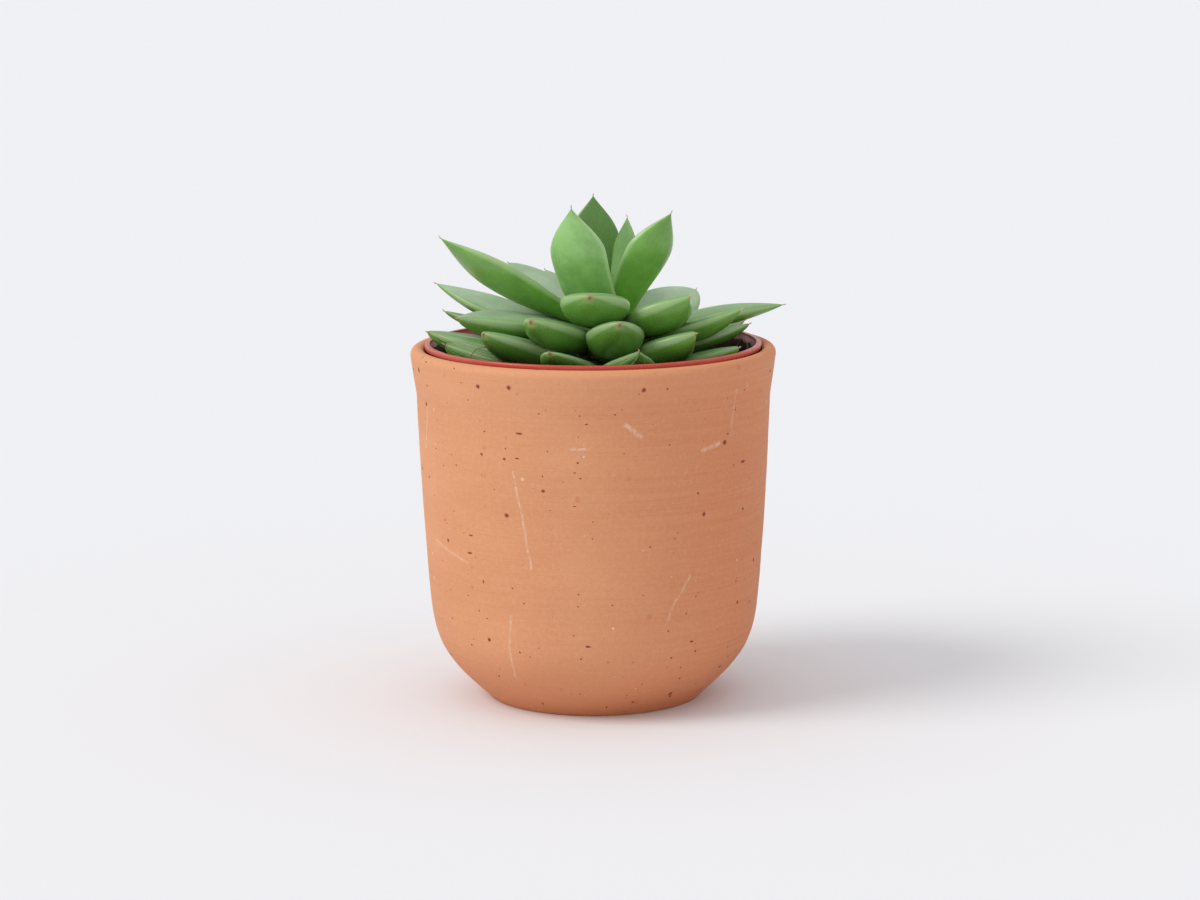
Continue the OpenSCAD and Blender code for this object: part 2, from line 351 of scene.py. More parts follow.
def stroke(m, place, start, end, width):
    """A mask of one straight scratch on the rolled-out surface."""
    run = Vector((*end, 0)) - Vector((*start, 0))
    off = m.add("ShaderNodeVectorMath", operation="SUBTRACT")
    m.put(place, off.inputs[0])
    off.inputs[1].default_value = (*start, 0)
    along = m.add("ShaderNodeVectorMath", operation="DOT_PRODUCT")
    m.put(off.outputs[0], along.inputs[0])
    along.inputs[1].default_value = run / run.length_squared
    share = m.math("MINIMUM", m.math("MAXIMUM", along.outputs["Value"], 0.0), 1.0)
    nearest = m.add("ShaderNodeVectorMath", operation="SCALE")
    nearest.inputs[0].default_value = run
    m.put(share, nearest.inputs["Scale"])
    gap = m.add("ShaderNodeVectorMath", operation="DISTANCE")
    m.put(off.outputs[0], gap.inputs[0])
    m.put(nearest.outputs[0], gap.inputs[1])
    return m.ramp(m.math("DIVIDE", gap.outputs["Value"], 2 * width), (0.2, 1.0), (0.6, 0.0))


# Scratches on the clay: start and end in mm round from the front and up, width, strength
SCRATCHES = [
    ((-19.5, 67), (-17.5, 53), 0.35, 0.8),
    ((-17.5, 53), (-15.5, 42), 0.35, 0.8),
    ((-22, 29), (-24, 12), 0.4, 0.6),
    ((-52, 80), (-55, 69), 0.45, 0.8),
    ((-53, 45.5), (-36, 41.5), 0.4, 0.6),
    ((9, 79.5), (12.5, 76.5), 0.7, 0.9),
    ((30, 71.5), (35.5, 72.8), 0.6, 0.9),
    ((41, 86), (40, 74), 0.35, 0.5),
    ((27, 39), (21, 28), 0.4, 0.6),
    ((-4, 73.5), (0, 73.7), 0.4, 0.7),
    ((88, 60), (95, 44), 0.45, 0.6),
    ((-96, 70), (-101, 58), 0.4, 0.6),
]


def scratches(m, surface):
    """All the scratches, a little wavy and broken up."""
    sway = m.add("ShaderNodeTexNoise")
    m.put(m.place, sway.inputs["Vector"])
    sway.inputs["Scale"].default_value = 110
    shift = m.add("ShaderNodeVectorMath", operation="MULTIPLY_ADD")
    m.put(sway.outputs["Color"], shift.inputs[0])
    shift.inputs[1].default_value = (2.2, 0, 0)
    m.put(surface, shift.inputs[2])
    total = None
    for start, end, width, strength in SCRATCHES:
        one = m.math("MULTIPLY", stroke(m, shift.outputs[0], start, end, width), strength)
        total = one if total is None else m.math("MAXIMUM", total, one)
    return m.math("MULTIPLY", total, m.ramp(m.noise(900, 3, 0.7), (0.38, 0.15), (0.6, 1.0)))


def clay_material():
    """Unglazed clay: warm blotches, throwing lines, rusty specks, pale scratches; painted shade makes the
    right side and the foot darker and redder, and a painted highlight lightens the flare below the lip.
    """
    m = Nodes("terracotta", roughness=0.8, specular=0.3)
    light, base, dark = (0.74, 0.350, 0.180), (0.68, 0.290, 0.138), (0.56, 0.220, 0.098)
    painted_shade_red, rust_red, cream = (0.62, 0.195, 0.080), (0.25, 0.030, 0.018), (0.86, 0.62, 0.46)
    surface = unrolled(m)
    blotch = m.ramp(m.noise(22, 4, 0.55), (0.36, 0.0), (0.66, 1.0))
    colour = m.mix(blotch, base, light)
    drift = m.ramp(m.noise(1, 3, 0.5, m.stretched(14, 14, 60)), (0.42, 0.0), (0.75, 0.5))
    colour = m.mix(drift, colour, dark)
    # Painted shade: the right side, turned away from the light, is made darker and redder.
    sides = m.add("ShaderNodeSeparateXYZ")
    m.link(m.place, sides.inputs[0])
    rightward = m.math("ADD", m.math("MULTIPLY", sides.outputs["X"], 10.0), 0.5)
    painted_shade_right = m.ramp(rightward, (0.45, 0.0), (0.85, 0.8))
    colour = m.mix(painted_shade_right, colour, painted_shade_red)
    lines = m.noise(1, 5, 0.65, m.stretched(10, 10, 1500))
    fine = m.noise(1, 4, 0.6, m.stretched(60, 60, 3600))
    streaks = m.math("ADD", m.math("MULTIPLY", lines, 0.6), m.math("MULTIPLY", fine, 0.4))
    colour = m.mix(m.ramp(streaks, (0.38, 0.0), (0.62, 0.35)), colour, light)
    grain = m.noise(2600, 2, 0.6)
    colour = m.mix(m.ramp(grain, (0.3, 0.28), (0.7, 0.0)), colour, dark)
    mottle = m.ramp(m.noise(1100, 3, 0.6), (0.45, 0.0), (0.75, 0.10))
    colour = m.mix(mottle, colour, cream)
    share = m.math("DIVIDE", m.height(), 100.0)
    # Painted highlight: lighter on the flare and lip towards the top.
    colour = m.mix(m.ramp(share, (0.80, 0.0), (0.90, 0.22)), colour, light)
    # Painted shade: darker and redder on the lower belly towards the foot.
    colour = m.mix(m.ramp(share, (0.0, 0.55), (0.2, 0.0)), colour, painted_shade_red)

    spots = marks(m, surface, "2D", 0.12, 0.105, 0.40, 3.0)
    dots = marks(m, surface, "2D", 0.27, 0.085, 0.20, 11.0)
    dashes = marks(m, unrolled(m, 0.45, 1.3), "2D", 0.14, 0.085, 0.26, 29.0)
    rust = m.math("MAXIMUM", m.math("MAXIMUM", spots, dots), dashes)
    colour = m.mix(m.math("MULTIPLY", rust, 0.92), colour, rust_red)
    faint = marks(m, surface, "2D", 0.16, 0.16, 0.22, 47.0)
    colour = m.mix(m.math("MULTIPLY", faint, 0.4), colour, (0.58, 0.15, 0.07))

    nicks = marks(m, surface, "2D", 0.13, 0.08, 0.2, 71.0)
    pale = m.math("MAXIMUM", nicks, scratches(m, surface))
    colour = m.mix(m.math("MULTIPLY", pale, 0.65), colour, cream)

    m.set("Base Color", colour)
    m.set("Roughness", m.math("ADD", m.math("MULTIPLY", blotch, 0.12), 0.66))
    m.bump(streaks, 0.00025, 0.5)
    m.bump(grain, 0.00012, 0.5)
    m.bump(m.math("MULTIPLY", m.math("ADD", rust, pale), -1.0), 0.00015, 0.7)
    return m.material


def plastic_material():
    """Thin glossy brick-red plastic with turning marks and dust, stained dark by the mix inside and
    darkened inside with painted shade.
    """
    m = Nodes("nursery_plastic", roughness=0.3, specular=0.5)
    red, dusty, stain = (0.52, 0.055, 0.032), (0.60, 0.27, 0.21), (0.030, 0.015, 0.010)
    cloud = m.ramp(m.noise(40, 4, 0.6), (0.42, 0.0), (0.7, 1.0))
    grit = m.ramp(m.noise(1500, 3, 0.7), (0.6, 0.0), (0.72, 1.0))
    dust = m.math("MULTIPLY", m.math("MAXIMUM", cloud, grit), 0.2)
    colour = m.mix(dust, red, dusty)
    ragged = m.math("MULTIPLY", m.noise(300, 4, 0.65), 2.4)
    # The inner wall below the lip is darkened: partly a stain from the mix, partly painted shade inside
    # the pot.
    low = m.math("LESS_THAN", m.math("ADD", m.height(), ragged), STAIN_AND_SHADE_TOP)
    inner = m.ramp(m.attribute("inside"), (0.4, 0.0), (0.6, 1.0))
    stained = m.math("MULTIPLY", m.math("MULTIPLY", low, inner), 0.93)
    m.set("Base Color", m.mix(stained, colour, stain))
    rough = m.math("ADD", m.math("MULTIPLY", dust, 0.6), 0.26)
    m.set("Roughness", m.math("MAXIMUM", rough, m.math("MULTIPLY", stained, 0.9)))
    m.bump(m.noise(1, 3, 0.5, m.stretched(30, 30, 1800)), 0.00005, 0.4)
    return m.material


def leaf_material():
    """Fleshy leaf: green back, bloom on the upper face, pale margin with a painted highlight along it,
    painted shade on the darker leaves, dry pinkish point.
    """
    m = Nodes("leaf", roughness=0.42, specular=0.5)
    along, edge, top, side = (m.attribute(n) for n in ("along", "edge", "top", "side"))
    tone_and_shade, frost, fresh, lined = (m.attribute(n) for n in ("tone_and_shade", "frost", "fresh", "lined"))
    deep, green, pale = (0.040, 0.110, 0.010), (0.125, 0.300, 0.040), (0.300, 0.560, 0.190)
    vivid, bloom, margin_and_highlight = (0.190, 0.480, 0.045), (0.450, 0.570, 0.410), (0.600, 0.740, 0.420)
    dark_share = m.math("MAXIMUM", tone_and_shade, 0.0)
    pale_share = m.math("MAXIMUM", m.math("MULTIPLY", tone_and_shade, -1.0), 0.0)
    colour = m.mix(pale_share, green, pale)
    young = m.math("MULTIPLY", m.ramp(along, (0.1, 0.9), (0.75, 0.0)), fresh)
    colour = m.mix(young, colour, vivid)
    patch = m.ramp(m.noise(95, 4, 0.55), (0.35, 0.0), (0.68, 0.35))
    colour = m.mix(patch, colour, vivid)
    # Darker by the leaf's tone value: its own tone, and painted shade on leaves lying under or behind
    # others.
    colour = m.mix(m.math("MULTIPLY", dark_share, 0.9), colour, deep)
    shade = m.ramp(m.noise(170, 4, 0.6), (0.35, 0.35), (0.6, 0.0))
    colour = m.mix(shade, colour, m.mix(0.6, green, deep))

    waxy = m.ramp(m.noise(150, 4, 0.6), (0.3, 0.6), (0.65, 1.0))
    upper = m.math("MULTIPLY", m.ramp(top, (0.46, 0.0), (0.84, 0.9)), waxy)
    colour = m.mix(m.math("MULTIPLY", upper, frost), colour, bloom)

    runs = m.add("ShaderNodeCombineXYZ")
    m.put(m.math("MULTIPLY", side, 9.0), runs.inputs[0])
    m.put(m.math("MULTIPLY", top, 9.0), runs.inputs[1])
    m.put(m.math("ADD", m.math("MULTIPLY", along, 1.4), m.math("MULTIPLY", tone_and_shade, 9.0)), runs.inputs[2])
    vein = m.noise(1, 4, 0.6, runs.outputs[0])
    vein_line = m.math("MULTIPLY", m.ramp(vein, (0.54, 0.0), (0.66, 0.8)), lined)
    colour = m.mix(vein_line, colour, margin_and_highlight)

    # Pale band along the leaf's edges: partly the leaf's own pale rim, partly a painted highlight along
    # the margins.
    colour = m.mix(m.ramp(edge, (0.94, 0.0), (0.998, 0.4)), colour, margin_and_highlight)
    flecks = m.noise(2400, 2, 0.6)
    colour = m.mix(m.ramp(flecks, (0.52, 0.0), (0.72, 0.22)), colour, m.mix(0.5, bloom, vivid))
    scar = marks(m, m.place, "3D", 260, 0.10, 0.08, 5.0)
    colour = m.mix(m.math("MULTIPLY", scar, 0.7), colour, (0.30, 0.24, 0.15))
    colour = m.mix(m.ramp(along, (0.945, 0.0), (0.972, 0.55)), colour, (0.42, 0.26, 0.12))
    colour = m.mix(m.ramp(along, (0.972, 0.0), (0.985, 0.95)), colour, (0.62, 0.36, 0.29))
    m.set("Base Color", colour)
    matt = m.ramp(top, (0.46, 0.0), (0.84, 1.0))
    m.set("Roughness", m.math("ADD", m.math("MULTIPLY", matt, 0.22), 0.26))
    m.set("Subsurface Weight", 0.12)
    m.set("Subsurface Radius", (0.5, 1.0, 0.25))
    m.set("Subsurface Scale", 0.002)
    m.bump(m.noise(260, 4, 0.6), 0.0002, 0.35)
    m.bump(m.math("MULTIPLY", vein, lined), 0.0006, 0.7)
    m.bump(flecks, 0.00006, 0.5)
    return m.material


def soil_material():
    """Dark peaty mix with lighter fibres and grit."""
    m = Nodes("potting_mix", roughness=0.95, specular=0.15)
    clump = m.ramp(m.noise(330, 4, 0.65), (0.35, 0.0), (0.7, 1.0))
    colour = m.mix(clump, (0.010, 0.006, 0.004), (0.045, 0.025, 0.015))
    fibre = m.ramp(m.noise(1, 3, 0.6, m.stretched(900, 260, 500)), (0.62, 0.0), (0.72, 0.7))
    colour = m.mix(fibre, colour, (0.11, 0.055, 0.028))
    m.set("Base Color", colour)
    m.bump(m.noise(900, 4, 0.7), 0.0008, 0.8)
    return m.material


def grain_material(name, low, high, scale, roughness):
    """A rough mineral or woody bit that varies between two colours."""
    m = Nodes(name, roughness=roughness, specular=0.3)
    fleck = m.ramp(m.noise(scale, 4, 0.65), (0.35, 0.0), (0.68, 1.0))
    m.set("Base Color", m.mix(fleck, low, high))
    m.bump(m.noise(scale * 2, 3, 0.6), 0.0003, 0.6)
    return m.material


def stem_material():
    """Short woody-green stem with old leaf scars."""
    m = Nodes("stem", roughness=0.7, specular=0.3)
    bands = m.ramp(m.noise(1, 3, 0.6, m.stretched(90, 90, 420)), (0.4, 0.0), (0.62, 1.0))
    m.set("Base Color", m.mix(bands, (0.10, 0.15, 0.05), (0.20, 0.16, 0.08)))
    m.bump(bands, 0.0003, 0.6)
    return m.material


def root_material():
    """Pale fibrous roots, stained by the mix."""
    m = Nodes("roots", roughness=0.8, specular=0.25)
    stain = m.ramp(m.noise(240, 4, 0.65), (0.35, 0.0), (0.65, 1.0))
    m.set("Base Color", m.mix(stain, (0.52, 0.42, 0.27), (0.24, 0.15, 0.08)))
    m.bump(m.noise(1400, 3, 0.6), 0.0002, 0.6)
    return m.material


CLAY = clay_material()
PLASTIC = plastic_material()
LEAF = leaf_material()
SOIL = soil_material()
STEM = stem_material()
ROOTS = root_material()
PERLITE = grain_material("perlite", (0.72, 0.70, 0.64), (0.93, 0.92, 0.88), 900, 0.85)
BARK = grain_material("bark", (0.11, 0.055, 0.03), (0.27, 0.15, 0.085), 500, 0.9)
TWIG = grain_material("dry_twig", (0.10, 0.045, 0.03), (0.42, 0.24, 0.17), 500, 0.8)

# ---- Terracotta pot ----

POT_SIDES = 288
CURVE_STEPS = 26
POT_WOBBLE = 0.10
RIM_CHIPS = [(252, 0.9, 0.16), (305, 0.7, 0.12), (38, 1.1, 0.2), (166, 0.8, 0.15)]


def pot_profile():
    """The clay's closed outline, from the drain hole out, up and back down inside."""
    bead = (LIP_R - BEAD_R, POT_H - BEAD_R)
    belly, flare = (43.4, 26.0), (46.6, 81.0)
    inner_belly, inner_wall = (belly[0] - WALL, belly[1] + 1), (flare[0] - WALL, flare[1] - 3)
    foot = [(DRAIN_R + 0.35, 0.0), (16.0, 0.0), (FOOT_R - 4, 0.0), (FOOT_R - 0.8, 0.0)]
    foot += [(FOOT_R - 0.25, 0.16), (FOOT_R, 0.6)]
    outside = bezier(foot[-1], (FOOT_R + 11.3, 10.5), (42.45, 15.05), belly, CURVE_STEPS)
    outside += bezier(belly, (44.4, 36), (45.8, 57), flare, CURVE_STEPS)
    outside += bezier(flare, (47.0, 84), (LIP_R - 0.4, 87.5), (LIP_R, bead[1]), CURVE_STEPS)
    lip = arc(bead, BEAD_R, 15, 165, 14)
    inside = bezier((LIP_R - 2 * BEAD_R, bead[1]), (43.9, 88), (43.1, 84), inner_wall, 12)
    inside += bezier(inner_wall, (41.6, 58), (40.5, 36), inner_belly, 16)
    inside += bezier(inner_belly, (38.4, 17), (34.5, FLOOR_T + 4), (26, FLOOR_T), 16)
    hole = [(16, FLOOR_T), (DRAIN_R + 0.35, FLOOR_T), (DRAIN_R, FLOOR_T - 0.35), (DRAIN_R, 0.35)]
    return thinned(foot + outside + lip + inside + hole, 0.2)


def hand_made(p):
    """A point of the clay moved as the thrower's hands and a few knocks would have left it."""
    x, y, z = p
    r = math.hypot(x, y)
    a = math.degrees(math.atan2(y, x)) % 360
    swell = POT_WOBBLE * wavy(x, y, 2.2 * z, 26) + 0.05 * wavy(0, 0, z, 3.1, 5)
    grow = min(1.0, z / 8) * min(1.0, max(0.0, (POT_H - z) / 3))
    chip = 0.0
    for at, width, depth in RIM_CHIPS:
        off = min(abs(a - at), 360 - abs(a - at))
        if z > POT_H - 2 and r > LIP_R - 2.5:
            chip += depth * math.exp(-((off / width) ** 2))
    shift = swell * grow - chip
    return (x * (1 + shift / r), y * (1 + shift / r), z - 0.6 * chip)


def terracotta_pot():
    points, faces = loop_lathe(pot_profile(), POT_SIDES)
    pot = make_object("clay_pot", [hand_made(p) for p in points], faces, CLAY)
    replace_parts(pot, "terracotta_pot")
    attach(pot, "terracotta_pot")


# ---- Nursery pot ----

LINER_SIDES = 192
WALL_STEPS = 14
# A turn that keeps the corners of the hole cutters off the pot's own edges
CUTTER_TURN = 0.031


def straight(start, end):
    """Evenly spaced points of a straight wall, without its first point."""
    return [
        tuple(start[k] + (end[k] - start[k]) * i / WALL_STEPS for k in (0, 1))
        for i in range(1, WALL_STEPS + 1)
    ]


def liner_profile():
    """The plastic's outline, from the base out and up over the rolled lip, and back down inside."""
    shoulder_z = LINER_Z + LINER_BODY_H
    heel = (LINER_BASE_R, LINER_Z + 1.1)
    outer = [(LINER_BASE_R - 1.2, LINER_Z), (LINER_BASE_R - 0.35, LINER_Z + 0.3), heel]
    outer += straight(heel, (LINER_TOP_R, shoulder_z))
    under = [
        (LINER_TOP_R + 0.15, shoulder_z + 1.2),
        (LINER_TOP_R + 0.45, LINER_LIP_Z - 0.35),
        (LINER_TOP_R + 0.9, LINER_LIP_Z),
    ]
    bend = 0.45
    roll = arc((LINER_LIP_R - bend, LINER_LIP_Z + bend), bend, -80, 0, 5)
    roll += arc((LINER_LIP_R - bend, LINER_LIP_Z + LIP_T - bend), bend, 0, 110, 7)
    flat = [(LINER_LIP_R - 1.3, LINER_LIP_Z + LIP_T - 0.05), (LINER_TOP_R + 0.1, LINER_LIP_Z + 0.5)]
    inner = [(LINER_TOP_R - LINER_T + 0.25, LINER_LIP_Z - 0.4), (LINER_TOP_R - LINER_T, shoulder_z - 1)]
    foot = (LINER_BASE_R - LINER_T, LINER_Z + LINER_T + 0.6)
    inner += straight(inner[1], foot)
    outside = outer + under + roll
    inside = flat[1:] + inner + [(foot[0] - 0.6, LINER_Z + LINER_T)]
    return outside + flat[:1], inside


def outer_holes():
    """Centres of the ring of drain holes in the base."""
    turns = [2 * math.pi * i / LINER_HOLES for i in range(LINER_HOLES)]
    return [(LINER_HOLE_RING * math.cos(a), LINER_HOLE_RING * math.sin(a)) for a in turns]


def nursery_pot():
    outside, inside = liner_profile()
    outside = [(LINER_HOLE_R, LINER_Z)] + outside
    inside = inside + [(LINER_HOLE_R, LINER_Z + LINER_T)]
    points, faces = loop_lathe(outside + inside, LINER_SIDES)
    pot = make_object("red_nursery_pot", points, faces, PLASTIC)
    point_values(pot, "inside", ([0.0] * len(outside) + [1.0] * len(inside)) * LINER_SIDES)
    cutters = []
    for x, y in outer_holes():
        bpy.ops.mesh.primitive_cylinder_add(
            vertices=40, radius=LINER_HOLE_R * MM, depth=6 * MM,
            location=(x * MM, y * MM, (LINER_Z + LINER_T / 2) * MM), rotation=(0, 0, CUTTER_TURN))
        cutters.append(bpy.context.object)
    for cutter in cutters:
        cut = pot.modifiers.new("drain_hole", "BOOLEAN")
        cut.operation, cut.object, cut.solver = "DIFFERENCE", cutter, "EXACT"
    apply_modifiers(pot)
    for cutter in cutters:
        bpy.data.objects.remove(cutter)
    pot.data.set_sharp_from_angle(angle=math.radians(50))
    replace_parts(pot, "nursery_pot")
    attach(pot, "liner")


def apply_modifiers(obj):
    """Turns the modified mesh into the object's own mesh."""
    graph = bpy.context.evaluated_depsgraph_get()
    mesh = bpy.data.meshes.new_from_object(obj.evaluated_get(graph))
    obj.modifiers.clear()
    obj.data = mesh


# ---- Leaves ----

LEAF_RINGS = 46
LEAF_SIDES = 40
MUCRO_LENGTH = 0.9

# How dark a leaf is (below 0 is pale), its own tone with painted shade on leaves under or behind others,
# how frosted, how vivid at its base, and how wide its base shows
LAYER_LOOKS = {
    "heart": (0.05, 0.3, 0.6, 0.62),
    "upper": (0.10, 0.7, 0.6, 0.42),
    "middle": (0.35, 0.7, 0.4, 0.36),
    "long": (0.10, 0.4, 0.8, 0.36),
    "lower": (0.50, 0.5, 0.2, 0.34),
    "rim": (0.15, 0.45, 0.2, 0.34),
}
LEAF_LOOKS = {
    "heart_leaf_front": (-0.85, 0.3, 0.3, 0.88),
    "heart_leaf_right": (-0.20, 0.2, 1.0, 0.62),
    "heart_leaf_back": (0.35, 0.1, 0.3, 0.62),
    "heart_leaf_small": (0.10, 0.3, 0.3, 0.55),
    "heart_bud_left": (-0.5, 0.2, 0.8, 0.5),
    "heart_bud_right": (-0.5, 0.2, 0.8, 0.5),
    "heart_bud_front": (-0.6, 0.2, 0.8, 0.5),
    "upper_leaf_left": (-0.2, 1.0, 1.0, 0.42),
    "upper_leaf_back_left": (0.1, 1.0, 0.3, 0.42),
    "upper_leaf_back_right": (0.1, 1.0, 0.2, 0.5),
    "upper_leaf_front_right": (0.0, 0.35, 0.9, 0.42),
    "upper_leaf_front": (0.10, 0.3, 0.3, 0.42),
    "middle_leaf_left": (0.25, 0.8, 0.9, 0.36),
    "middle_leaf_back_left": (0.1, 0.9, 0.6, 0.36),
    "middle_leaf_front_left": (0.25, 0.25, 0.6, 0.40),
    "middle_leaf_front": (0.40, 0.4, 0.1, 0.40),
    "middle_leaf_right": (0.15, 0.35, 0.9, 0.36),
    "lower_leaf_front_right": (0.3, 0.3, 0.7, 0.36),
}
# Leaves whose flesh is a little fuller than the CAD solid: width and thickness factors
FULLER_LEAVES = {
    "lower_leaf_front_left": (1.06, 1.28),
    "lower_leaf_front_right": (1.04, 1.12),
    "middle_leaf_front": (1.08, 1.06),
    "middle_leaf_front_left": (1.08, 1.08),
    "middle_leaf_left": (1.0, 1.08),
    "upper_leaf_front_right": (1.04, 1.10),
    "rim_leaf_right": (1.05, 1.4),
    "rim_leaf_left": (1.08, 1.35),
    "rim_leaf_left_front": (1.10, 1.4),
}
# Power that the width falls off with: stubby leaves end in a round
SHARP_POINT = 1.15
BLUNT_POINT = 0.62
BLUNT_LEAVES = (
    "upper_leaf_front", "upper_leaf_back_left", "upper_leaf_back_right", "middle_leaf_front",
    "middle_leaf_front_left", "lower_leaf_front_left", "rim_leaf_front_left",
)
# Leaves that have begun to dry, with pale lines along them
LINED_LEAVES = ("rim_leaf_left", "rim_leaf_left_front", "rim_leaf_front_right")


def leaf_form(s, neck, point):
    """Half of the leaf's width at a share s of its length, as a share of the greatest."""
    if s < LEAF_WIDEST:
        return neck + (1 - neck) * math.sin(math.pi / 2 * s / LEAF_WIDEST) ** 1.8
    rest = max(0.0, math.cos(math.pi / 2 * (s - LEAF_WIDEST) / (1 - LEAF_WIDEST)))
    return rest ** point


def leaf_line(s, length, a, b):
    """Place along the bowed centre line, as distance out and distance up."""
    turn, p = b - a, a + (b - a) * s
    if abs(turn) < 1e-5:
        return length * s * math.cos(a), length * s * math.sin(a)
    return (
        length / turn * (math.sin(p) - math.sin(a)),
        length / turn * (math.cos(a) - math.cos(p)),
    )


class LeafFrame:
    """Where a leaf's centre line is at s, and which ways are across it and out of its upper face."""

    def __init__(self, plan):
        (self.name, heading, self.z, a, b, self.length, self.width, self.thick, twist,
         self.start, self.taper) = plan
        self.heading, self.a, self.b, self.twist = (math.radians(v) for v in (heading, a, b, twist))
        wider, thicker = FULLER_LEAVES.get(self.name, (1.0, 1.0))
        self.width *= wider
        self.thick *= thicker / wider

    def point_lift(self, s):
        """How far the flesh is raised towards the point, so that the upper face runs flat to it."""
        return self.width * self.thick * POINT_LIFT * s ** 3

    def at(self, s):
        out, up = leaf_line(s, self.length, self.a, self.b)
        out += self.start
        pitch = self.a + (self.b - self.a) * s
        ch, sh = math.cos(self.heading), math.sin(self.heading)
        centre = Vector((STEM_X + out * ch, out * sh, self.z + up))
        across = Vector((sh, -ch, 0))
        normal = Vector((-math.sin(pitch) * ch, -math.sin(pitch) * sh, math.cos(pitch)))
        forward = Vector((math.cos(pitch) * ch, math.cos(pitch) * sh, math.sin(pitch)))
        u = across * math.cos(self.twist) - normal * math.sin(self.twist)
        v = normal * math.cos(self.twist) + across * math.sin(self.twist)
        return centre, u, v, forward


def powered(value, exponent):
    """A power that keeps the sign."""
    return math.copysign(abs(value) ** exponent, value)


def leaf_section(t):
    """Place on the section at angle t: share of the half width, and of the thickness."""
    across = powered(math.cos(t), 0.93)
    if math.sin(t) > 0:
        face = UPPER_SHARE * math.sin(t)
    else:
        face = -(1 - UPPER_SHARE) * (-math.sin(t)) ** 0.88
    return across, face + MARGIN_LIFT * math.cos(t) ** 2


def leaf(plan):
    shape = LeafFrame(plan)
    tone_and_shade, frost, fresh, neck = LEAF_LOOKS.get(shape.name, LAYER_LOOKS[shape.name.split("_")[0]])
    seed = sum(ord(c) for c in shape.name) % 97
    point = BLUNT_POINT if shape.name in BLUNT_LEAVES else SHARP_POINT
    points, along, edge, top, side = [], [], [], [], []
    for i in range(LEAF_RINGS + 1):
        s = 1 - (1 - i / LEAF_RINGS) ** 1.25
        form = leaf_form(s, neck, point)
        half = shape.width / 2 * max(form, TIP_SHARE)
        taper = NECK_TAPER if s < LEAF_WIDEST else shape.taper * SHARP_POINT / point
        thick = shape.width * shape.thick * max(form ** taper, 0.03)
        centre, u, v, _ = shape.at(s)
        centre = centre + v * shape.point_lift(s)
        for k in range(LEAF_SIDES):
            t = 2 * math.pi * k / LEAF_SIDES
            across, face = leaf_section(t)
            p = centre + u * half * across + v * thick * face
            swell = 0.14 * form * wavy(*p, 7, seed) + 0.05 * form * wavy(*p, 2.6, seed)
            p += (p - centre).normalized() * swell if (p - centre).length > 0.3 else Vector()
            points.append(p)
            along.append(s * 0.97)
            edge.append(abs(math.cos(t)))
            side.append(0.5 + 0.5 * math.cos(t))
            top.append(0.5 + 0.5 * math.sin(t))
    faces = ring_faces(LEAF_RINGS + 1, LEAF_SIDES)
    faces.append(list(range(LEAF_SIDES - 1, -1, -1)))
    tip_points, tip_faces = mucro(shape, LEAF_RINGS * LEAF_SIDES, len(points))
    points += tip_points
    faces += tip_faces
    extra = len(tip_points)
    obj = make_object(shape.name + "_flesh", points, faces, LEAF)
    point_values(obj, "along", along + [1.0] * extra)
    point_values(obj, "edge", edge + [0.0] * extra)
    point_values(obj, "top", top + [0.5] * extra)
    point_values(obj, "side", side + [0.5] * extra)
    tone_and_shade += rng.uniform(-0.06, 0.06)
    point_values(obj, "lined", [1.0 if shape.name in LINED_LEAVES else 0.0] * len(points))
    for name, value in (("tone_and_shade", tone_and_shade), ("frost", frost), ("fresh", fresh)):
        point_values(obj, name, [value] * len(points))
    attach(obj, "plant")
    return obj


def ring_faces(rings, sides):
    """Quads between rings of points that follow one another."""
    return [
        (i + k, i + (k + 1) % sides, i + sides + (k + 1) % sides, i + sides + k)
        for i in range(0, (rings - 1) * sides, sides)
        for k in range(sides)
    ]


def mucro(shape, last_ring, count):
    """The dry hair-like point: rings that narrow on from the leaf's last ring."""
    centre, u, v, forward = shape.at(1.0)
    centre = centre + v * shape.point_lift(1.0)
    lean = u * rng.uniform(-0.5, 0.5) + v * rng.uniform(0.0, 0.7)
    length = MUCRO_LENGTH * rng.uniform(0.7, 1.2)
    points, faces = [], []
    rings = 5
    for i in range(1, rings + 1):
        share = i / rings
        r = 0.24 * (1 - share) ** 0.7 + 0.012
        at = centre + (forward * share + lean * share ** 2) * length
        for k in range(LEAF_SIDES):
            t = 2 * math.pi * k / LEAF_SIDES
            points.append(at + u * r * math.cos(t) + v * r * math.sin(t))
    for i in range(rings):
        here = last_ring if i == 0 else count + (i - 1) * LEAF_SIDES
        there = count + i * LEAF_SIDES
        for k in range(LEAF_SIDES):
            n = (k + 1) % LEAF_SIDES
            faces.append((here + k, here + n, there + n, there + k))
    end = count + (rings - 1) * LEAF_SIDES
    faces.append([end + k for k in range(LEAF_SIDES)])
    return points, faces


def leaves():
    for plan in LEAVES:
        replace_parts(leaf(plan), plan[0])
    for plan in BUD_LEAVES:
        leaf(plan)


# ---- Stem, potting mix and what lies on it ----


CROWN_R = 1.5
STEM_TOP_R = 2.2


